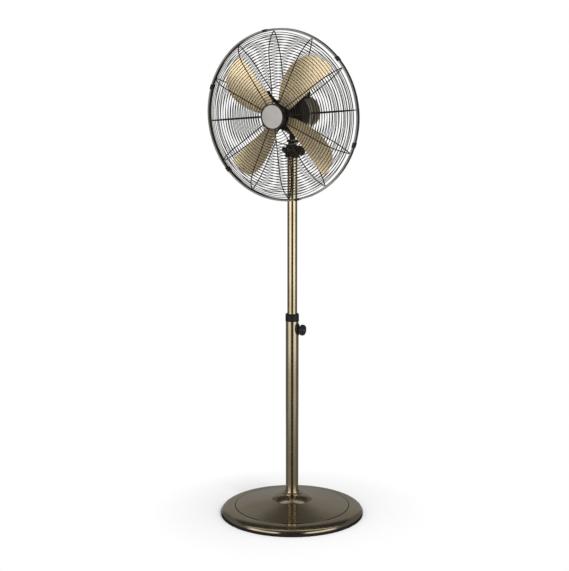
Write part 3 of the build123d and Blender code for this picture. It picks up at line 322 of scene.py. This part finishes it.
@dataclass(frozen=True)
class MouldedFinish:
    """Moulded plastic, rubber or powder coat with a fine grain.

    Attributes:
        name: Material name.
        colour: Linear colour.
        worn: Linear colour of its lighter specks.
        roughness: Mean roughness.
        grain: Grain cells in a metre.
        relief: Height of the grain in metres.
        metallic: Share of metal in the surface.
        shine: Level of the clear reflection, 0.5 for plain plastic.
    """

    name: str
    colour: Colour
    worn: Colour
    roughness: float
    grain: float = 1400.0
    relief: float = 0.00008
    metallic: float = 0.0
    shine: float = 0.5

    def material(self) -> bpy.types.Material:
        """Make the material.

        Returns:
            A new node material.
        """
        made = bpy.data.materials.new(self.name)
        made.use_nodes = True
        graph = Graph(made.node_tree)
        shader = made.node_tree.nodes["Principled BSDF"]
        shader.inputs["Metallic"].default_value = self.metallic
        shader.inputs["Specular IOR Level"].default_value = self.shine
        place = graph.node("ShaderNodeTexCoord").outputs["Object"]
        fine = graph.noise(place, self.grain, FINE_DETAIL)
        wide = graph.noise(place, self.grain / PATCH_CELLS, WIDE_DETAIL)
        share = graph.ramp(wide, WORN_START, WORN_FULL, 0.0, 1.0)
        graph.link(graph.mix(share, self.colour, self.worn), shader.inputs["Base Color"])
        low = self.roughness - MOULDED_SPREAD
        high = self.roughness + MOULDED_SPREAD
        graph.link(graph.ramp(fine, NOISE_LOW, NOISE_HIGH, low, high), shader.inputs["Roughness"])
        bump = graph.node("ShaderNodeBump")
        bump.inputs["Distance"].default_value = self.relief
        graph.link(fine, bump.inputs["Height"])
        graph.link(bump.outputs["Normal"], shader.inputs["Normal"])
        return made


class Finish(Enum):
    """Finishes of the fan."""

    SPUN_BRASS = MetalFinish(
        "spun_brass",
        colour=(0.52, 0.44, 0.32),
        patina=(0.40, 0.33, 0.22),
        roughness=0.2,
        grain=Grain.TURNED,
        lines=800.0,
        relief=0.000002,
        spread=0.05,
        cloud=5.0,
        stretch=0.6,
        # Radius of the painted shade line in the base's groove.
        groove=0.1535,
    )
    TUBE_BRASS = MetalFinish(
        "tube_brass",
        colour=(0.60, 0.515, 0.355),
        patina=(0.48, 0.395, 0.245),
        roughness=0.16,
        grain=Grain.DRAWN,
        lines=500.0,
        relief=0.0000003,
        spread=0.02,
        cloud=6.0,
        cover=0.4,
    )
    BLADE_GOLD = MouldedFinish(
        "blade_gold",
        colour=(0.95, 0.78, 0.50),
        worn=(0.90, 0.73, 0.46),
        roughness=0.27,
        grain=900.0,
        relief=0.000005,
        metallic=0.62,
    )
    WIRE_BRASS = MetalFinish(
        "wire_brass",
        colour=(0.05, 0.043, 0.03),
        patina=(0.03, 0.025, 0.017),
        roughness=0.36,
        grain=Grain.ROLLED,
        lines=600.0,
        relief=0.000004,
        spread=0.06,
        cloud=20.0,
        cover=0.5,
    )
    HOOP_BLACK = MetalFinish(
        "hoop_black",
        colour=(0.21, 0.205, 0.19),
        patina=(0.13, 0.125, 0.115),
        roughness=0.3,
        grain=Grain.ROLLED,
        lines=600.0,
        relief=0.000004,
        spread=0.08,
        cloud=14.0,
        cover=0.6,
    )
    SHELL_BRASS = MetalFinish(
        "shell_brass",
        colour=(0.68, 0.59, 0.43),
        patina=(0.52, 0.45, 0.325),
        roughness=0.3,
        grain=Grain.ROLLED,
        lines=900.0,
        relief=0.000004,
        spread=0.06,
        cloud=7.0,
        cover=0.5,
    )
    BRIGHT_STEEL = MetalFinish(
        "bright_steel",
        colour=(0.55, 0.55, 0.54),
        patina=(0.42, 0.42, 0.41),
        roughness=0.3,
        grain=Grain.ROLLED,
        lines=900.0,
        relief=0.000004,
        spread=0.08,
        cloud=20.0,
        cover=0.4,
    )
    DARK_IRON = MetalFinish(
        "dark_iron",
        colour=(0.16, 0.155, 0.15),
        patina=(0.09, 0.085, 0.08),
        roughness=0.55,
        grain=Grain.ROLLED,
        lines=500.0,
        relief=0.00004,
        spread=0.1,
        cloud=25.0,
        cover=0.5,
    )
    COIL_COPPER = MetalFinish(
        "coil_copper",
        colour=(0.5, 0.22, 0.09),
        patina=(0.36, 0.14, 0.05),
        roughness=0.35,
        grain=Grain.TURNED,
        lines=1200.0,
        relief=0.0001,
        spread=0.1,
        cloud=30.0,
        cover=0.4,
    )
    BADGE_SATIN = MouldedFinish(
        "badge_satin",
        colour=(0.35, 0.33, 0.31),
        worn=(0.40, 0.38, 0.36),
        roughness=0.45,
        grain=1600.0,
        relief=0.00002,
        metallic=0.35,
    )
    BLACK_PLASTIC = MouldedFinish(
        "black_plastic",
        colour=(0.007, 0.007, 0.007),
        worn=(0.012, 0.012, 0.012),
        roughness=0.4,
        shine=0.25,
    )
    BLACK_RUBBER = MouldedFinish(
        "black_rubber",
        colour=(0.007, 0.007, 0.007),
        worn=(0.012, 0.012, 0.012),
        roughness=0.66,
        shine=0.2,
    )
    BLACK_COAT = MouldedFinish(
        "black_coat",
        colour=(0.007, 0.007, 0.007),
        worn=(0.011, 0.011, 0.011),
        roughness=0.36,
        grain=2200.0,
        relief=0.00005,
        shine=0.25,
    )
    PALE_NYLON = MouldedFinish(
        "pale_nylon",
        colour=(0.68, 0.66, 0.6),
        worn=(0.74, 0.72, 0.66),
        roughness=0.5,
    )
    GREY_CASE = MouldedFinish(
        "grey_case",
        colour=(0.09, 0.09, 0.095),
        worn=(0.12, 0.12, 0.125),
        roughness=0.48,
    )


class Dresser:
    """Gives finishes to the frame's nodes, one material for each finish."""

    def __init__(self, nodes: dict[str, bpy.types.Object]) -> None:
        """Keep the nodes.

        Args:
            nodes: The frame's objects by name.
        """
        self.nodes = nodes
        self.made: dict[Finish, bpy.types.Material] = {}

    def material(self, finish: Finish) -> bpy.types.Material:
        """The finish's one material, made when first asked for."""
        if finish not in self.made:
            self.made[finish] = finish.value.material()
        return self.made[finish]

    def dress(self, names: Names, finish: Finish) -> None:
        """Give nodes a finish.

        Args:
            names: Node names.
            finish: Finish they all get.
        """
        for name in names:
            mesh = self.nodes[name].data
            mesh.materials.clear()
            mesh.materials.append(self.material(finish))
            LOG.info("%s in %s", name, finish.name)


@dataclass
class Stand:
    """Round base, telescopic pole and height lock.

    Attributes:
        spun: Pieces of spun brass.
        tubes: Drawn tubes of the pole.
        black: Black plastic pieces.
        steel: Inner steel pieces.
    """

    spun: Names = ("base_cover", "foot_ring")
    tubes: Names = ("lower_tube", "upper_tube")
    black: Names = ("pole_collar", "lock_boss", "lock_knob", "mast_guide")
    steel: Names = ("tie_bolt", "base_spacer", "foot_plug", "lock_screw")

    def dress(self, dresser: Dresser) -> None:
        """Give the stand its finishes.

        Args:
            dresser: Holder of the frame's nodes.
        """
        dresser.dress(self.spun, Finish.SPUN_BRASS)
        dresser.dress(self.tubes, Finish.TUBE_BRASS)
        dresser.dress(self.black, Finish.BLACK_PLASTIC)
        dresser.dress(self.steel, Finish.BRIGHT_STEEL)
        dresser.dress(("base_edge",), Finish.BLACK_RUBBER)
        dresser.dress(("base_plate",), Finish.BLACK_COAT)
        dresser.dress(("base_weight",), Finish.DARK_IRON)


@dataclass
class Neck:
    """Tilt joint and oscillation pivot under the motor.

    Attributes:
        coated: Black coated castings.
        steel: Steel pins and screw.
        washers: Nylon washers.
    """

    coated: Names = ("tilt_socket", "neck", "motor_yoke")
    steel: Names = ("socket_screw", "pivot_pin", "anchor_pin")
    washers: Names = ("tilt_washers", "thrust_washer")

    def dress(self, dresser: Dresser) -> None:
        """Give the neck its finishes.

        Args:
            dresser: Holder of the frame's nodes.
        """
        dresser.dress(self.coated, Finish.BLACK_COAT)
        dresser.dress(("tilt_knob", "tilt_bolt"), Finish.BLACK_PLASTIC)
        dresser.dress(self.steel, Finish.BRIGHT_STEEL)
        dresser.dress(self.washers, Finish.PALE_NYLON)


@dataclass
class Motor:
    """Motor housing, what is inside it, and its controls.

    Attributes:
        coated: Black coated castings.
        steel: Steel plates, shafts and links.
        iron: Laminated cores.
        cases: Dark cases of the electric parts.
        gears: Nylon gears.
    """

    coated: Names = ("motor_bell", "guard_bracket")
    steel: Names = ("rear_plate", "bearings", "rotor_shaft", "clutch_shaft", "crank", "link", "gear_frame")
    iron: Names = ("stator_core", "rotor_core")
    cases: Names = ("capacitor", "speed_switch")
    gears: Names = ("worm_wheel", "crank_gear")

    def dress(self, dresser: Dresser) -> None:
        """Give the motor its finishes.

        Args:
            dresser: Holder of the frame's nodes.
        """
        dresser.dress(self.coated, Finish.BLACK_COAT)
        dresser.dress(("motor_shell",), Finish.SHELL_BRASS)
        dresser.dress(self.steel, Finish.BRIGHT_STEEL)
        dresser.dress(self.iron, Finish.DARK_IRON)
        dresser.dress(("stator_coils",), Finish.COIL_COPPER)
        dresser.dress(self.cases, Finish.GREY_CASE)
        dresser.dress(self.gears, Finish.PALE_NYLON)
        dresser.dress(("oscillation_knob", "speed_knob"), Finish.BLACK_PLASTIC)
        dresser.dress(("cord_gland",), Finish.BLACK_RUBBER)


@dataclass
class Guard:
    """Wire guard, its rim and its centre badge.

    Attributes:
        wires: Ribs and rings of both halves.
        plates: Rear hub and rim hoop.
    """

    wires: Names = ("front_guard_ribs", "front_guard_rings", "rear_guard_ribs", "rear_guard_rings")
    plates: Names = ("rear_guard_hub", "guard_hoop")

    def dress(self, dresser: Dresser) -> None:
        """Give the guard its finishes.

        Args:
            dresser: Holder of the frame's nodes.
        """
        dresser.dress(self.wires, Finish.WIRE_BRASS)
        dresser.dress(self.plates, Finish.HOOP_BLACK)
        dresser.dress(("badge",), Finish.BADGE_SATIN)
        dresser.dress(("guard_clips", "front_guard_hub"), Finish.BLACK_PLASTIC)
        dresser.dress(("guard_screws",), Finish.BRIGHT_STEEL)


@dataclass
class Fan:
    """Blades, their hub and the nut that holds them.

    Attributes:
        golden: Blades and what holds them to their hub.
    """

    golden: Names = ("blades", "rivets")

    def dress(self, dresser: Dresser) -> None:
        """Give the blades their finishes.

        Args:
            dresser: Holder of the frame's nodes.
        """
        dresser.dress(self.golden, Finish.BLADE_GOLD)
        dresser.dress(("blade_hub",), Finish.BLACK_COAT)
        dresser.dress(("shaft_nut",), Finish.BLACK_PLASTIC)


@dataclass(frozen=True)
class Softbox:
    """One soft lamp that looks at the fan.

    Attributes:
        name: Lamp name.
        turn: Degrees from the camera's side, positive to its right.
        height: Metres above the floor.
        distance: Metres from the pole.
        width: Metres across.
        tall: Metres high.
        watts: Lamp power.
        aim: Height in metres that it looks at.
        mirrored: Whether metal shows it.
    """

    name: str
    turn: float
    height: float
    distance: float
    width: float
    tall: float
    watts: float
    aim: float = 0.8
    mirrored: bool = True


@dataclass(frozen=True)
class Card:
    """One dim card of the studio, which only shows in reflections.

    Attributes:
        name: Card name.
        turn: Degrees from the camera's side, positive to its right.
        distance: Metres from the pole.
        width: Metres across.
        low: Height of its lower edge in metres.
        high: Height of its upper edge in metres when it stands upright.
        level: Brightness, where 1 is white.
        tint: Linear colour at full brightness.
        lean: Degrees that it leans over the fan, 90 for a roof.
    """

    name: str
    turn: float
    distance: float
    width: float
    low: float
    high: float
    level: float
    tint: Colour = (1.0, 1.0, 1.0)
    lean: float = 0.0

    def build(self, facing: float) -> bpy.types.Object:
        """Stand the card up or lean it over, facing the pole.

        Args:
            facing: Angle of the camera round the pole, in radians from +X.

        Returns:
            The card's object.
        """
        turn = facing + math.radians(self.turn)
        outward = Vector((math.cos(turn), math.sin(turn), 0.0))
        along = Vector((-math.sin(turn), math.cos(turn), 0.0)) * self.width / 2
        foot = outward * self.distance + Vector((0, 0, self.low))
        lean = math.radians(self.lean)
        side = (Vector((0, 0, math.cos(lean))) - outward * math.sin(lean)) * (self.high - self.low)
        corners = [foot - along, foot + along, foot + along + side, foot - along + side]
        mesh = bpy.data.meshes.new(self.name)
        mesh.from_pydata(corners, [], [(0, 1, 2, 3)])
        mesh.materials.append(self.paint())
        card = bpy.data.objects.new(self.name, mesh)
        bpy.context.scene.collection.objects.link(card)
        card.visible_camera = False
        card.visible_diffuse = False
        card.visible_transmission = False
        card.visible_shadow = False
        return card

    def paint(self) -> bpy.types.Material:
        """Make the card's even colour.

        Returns:
            A new emission material.
        """
        made = bpy.data.materials.new(self.name)
        made.use_nodes = True
        graph = Graph(made.node_tree)
        glow = graph.node("ShaderNodeEmission")
        glow.inputs["Color"].default_value = (*self.tint, 1)
        glow.inputs["Strength"].default_value = self.level
        graph.link(glow.outputs[0], made.node_tree.nodes["Material Output"].inputs["Surface"])
        return made


@dataclass
class Studio:
    """Floor, light and camera.

    Attributes:
        frame_px: Width and height of the picture in pixels.
        focal_px: Focal length in pixels.
        eye: Place of the camera in metres.
        pitch: Degrees that the camera looks down.
        pole_px: Column of the picture where the pole stands.
        film: Height of the camera's film in millimetres.
        floor_half: Half the width of the floor in metres.
        floor_colour: Linear colour of the floor.
        floor_roughness: Roughness of the floor.
        floor_shine: Level of the floor's clear reflection.
        shadow_near: Metres from the pole where the floor starts to fade into the backdrop.
        shadow_far: Metres from the pole where only the backdrop's white is left.
        fill_level: Brightness of the even fill on the object, where 1 is white.
        boxes: Soft lamps.
        cards: Dim cards that metal mirrors.
    """

    frame_px: tuple[int, int] = (569, 571)
    focal_px: float = 1566.0
    eye: Point = (1.982, -3.532, 1.43)
    pitch: float = 11.2
    pole_px: float = 292.4
    film: float = 36.0
    floor_half: float = 14.0
    floor_colour: Colour = (0.95, 0.95, 0.95)
    floor_roughness: float = 0.9
    floor_shine: float = 0.1
    shadow_near: float = 0.2
    shadow_far: float = 0.38
    fill_level: float = 0.55
    boxes: tuple[Softbox, ...] = (
        Softbox(
            "left_box",
            turn=-47.0,
            height=1.25,
            distance=3.0,
            width=2.5,
            tall=3.1,
            watts=17.0,
            aim=1.25,
        ),
        Softbox(
            "right_box",
            turn=47.0,
            height=1.25,
            distance=3.0,
            width=2.5,
            tall=3.1,
            watts=18.5,
            aim=1.25,
        ),
        Softbox(
            "top_box",
            turn=170.0,
            height=3.4,
            distance=1.2,
            width=2.6,
            tall=2.6,
            watts=3.0,
            mirrored=False,
        ),
        Softbox(
            "key_box",
            turn=28.0,
            height=2.3,
            distance=2.6,
            width=1.2,
            tall=1.2,
            watts=66.0,
            aim=1.2,
            mirrored=False,
        ),
    )
    cards: tuple[Card, ...] = (
        Card(
            "front_card",
            turn=0.0,
            distance=4.8,
            width=3.7,
            low=-3.0,
            high=3.6,
            level=0.05,
            tint=(1.0, 0.68, 0.22),
        ),
        Card("front_roof", turn=0.0, distance=4.8, width=9.0, low=3.6, high=8.0, level=0.05, lean=90.0),
        Card("back_roof", turn=180.0, distance=4.2, width=9.0, low=3.6, high=7.4, level=0.05, lean=90.0),
        Card("left_card", turn=-112.0, distance=3.6, width=6.0, low=-3.0, high=3.2, level=0.16),
        Card("right_card", turn=112.0, distance=3.6, width=6.0, low=-3.0, high=3.2, level=0.16),
        Card("left_low_card", turn=-47.0, distance=3.1, width=3.2, low=-0.65, high=0.0, level=0.5),
        Card("right_low_card", turn=47.0, distance=3.1, width=3.2, low=-0.65, high=0.0, level=0.6),
        Card("left_foot_card", turn=-47.0, distance=3.1, width=3.2, low=-3.0, high=-0.65, level=0.22),
        Card("right_foot_card", turn=47.0, distance=3.1, width=3.2, low=-3.0, high=-0.65, level=0.22),
        Card("back_card", turn=180.0, distance=4.2, width=6.0, low=-1.0, high=3.6, level=0.28),
    )

    def build(self) -> None:
        """Make the floor, the light and the camera."""
        self.lay_floor()
        self.light_world()
        for box in self.boxes:
            self.hang(box)
        for card in self.cards:
            card.build(self.facing())
        self.aim_camera()
        bpy.context.scene.view_settings.view_transform = "Standard"

    def facing(self) -> float:
        """Angle of the camera round the pole, in radians from +X."""
        return math.atan2(self.eye[1], self.eye[0])

    def lay_floor(self) -> None:
        """Lay the pale floor, white to the camera but for the object's shadow."""
        half = self.floor_half
        mesh = bpy.data.meshes.new("floor")
        corners = [(-half, -half, 0), (half, -half, 0), (half, half, 0), (-half, half, 0)]
        mesh.from_pydata(corners, [], [(0, 1, 2, 3)])
        floor = bpy.data.objects.new("floor", mesh)
        bpy.context.scene.collection.objects.link(floor)
        mesh.materials.append(self.floor_paint())
        floor.visible_glossy = False

    def floor_paint(self) -> bpy.types.Material:
        """Make the floor's paint: it takes the shadow near the base and fades to the backdrop's white.

        Returns:
            A new node material.
        """
        made = bpy.data.materials.new("floor_paint")
        made.use_nodes = True
        graph = Graph(made.node_tree)
        shader = made.node_tree.nodes["Principled BSDF"]
        shader.inputs["Base Color"].default_value = (*self.floor_colour, 1)
        shader.inputs["Roughness"].default_value = self.floor_roughness
        shader.inputs["Specular IOR Level"].default_value = self.floor_shine
        reach = graph.node("ShaderNodeVectorMath", operation="LENGTH")
        graph.link(graph.node("ShaderNodeTexCoord").outputs["Object"], reach.inputs[0])
        fade = graph.ramp(reach.outputs["Value"], self.shadow_near, self.shadow_far, 0.0, 1.0)
        path = graph.node("ShaderNodeLightPath")
        seen = graph.math("MAXIMUM", path.outputs["Is Camera Ray"], path.outputs["Is Transmission Ray"])
        glow = graph.node("ShaderNodeEmission")
        blend = graph.node("ShaderNodeMixShader")
        graph.link(graph.math("MULTIPLY", fade, seen), blend.inputs[0])
        graph.link(shader.outputs[0], blend.inputs[1])
        graph.link(glow.outputs[0], blend.inputs[2])
        graph.link(blend.outputs[0], made.node_tree.nodes["Material Output"].inputs["Surface"])
        return made

    def light_world(self) -> None:
        """Set a backdrop that is white where it is seen or mirrored, and a lower even fill on the object."""
        world = bpy.data.worlds.new("studio")
        bpy.context.scene.world = world
        world.use_nodes = True
        graph = Graph(world.node_tree)
        paint = world.node_tree.nodes["Background"]
        paint.inputs["Color"].default_value = WHITE
        path = graph.node("ShaderNodeLightPath")
        seen = graph.math("MAXIMUM", path.outputs["Is Camera Ray"], path.outputs["Is Transmission Ray"])
        seen = graph.math("MAXIMUM", seen, path.outputs["Is Glossy Ray"])
        graph.link(graph.math("MAXIMUM", seen, self.fill_level), paint.inputs["Strength"])

    def hang(self, box: Softbox) -> None:
        """Hang one softbox.

        Args:
            box: Its place, size and power.
        """
        lamp = bpy.data.lights.new(box.name, "AREA")
        lamp.shape = "RECTANGLE"
        lamp.size = box.width
        lamp.size_y = box.tall
        lamp.energy = box.watts
        rig = bpy.data.objects.new(box.name, lamp)
        bpy.context.scene.collection.objects.link(rig)
        turn = self.facing() + math.radians(box.turn)
        rig.location = (box.distance * math.cos(turn), box.distance * math.sin(turn), box.height)
        gaze = Vector((0, 0, box.aim)) - rig.location
        rig.rotation_euler = gaze.to_track_quat("-Z", "Y").to_euler()
        rig.visible_camera = False
        rig.visible_glossy = box.mirrored

    def aim_camera(self) -> None:
        """Stand the camera where the photograph was taken from."""
        lens = bpy.data.cameras.new("camera")
        lens.sensor_fit = "VERTICAL"
        lens.sensor_height = self.film
        lens.lens = self.focal_px / self.frame_px[1] * self.film
        rig = bpy.data.objects.new("camera", lens)
        bpy.context.scene.collection.objects.link(rig)
        rig.location = self.eye
        aside = math.atan2(self.pole_px - self.frame_px[0] / 2, self.focal_px)
        heading = aside - math.atan2(-self.eye[0], -self.eye[1])
        rig.rotation_euler = (math.radians(90 - self.pitch), 0, heading)
        bpy.context.scene.camera = rig


def main() -> None:
    """Load the frame, dress each sub-assembly and build the studio."""
    logging.basicConfig(level=logging.INFO, format="%(name)s: %(message)s")
    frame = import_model()
    dresser = Dresser(frame["nodes"])
    for assembly in (Stand(), Neck(), Motor(), Guard(), Fan()):
        assembly.dress(dresser)
    Studio().build()


if __name__ == "__main__":
    main()
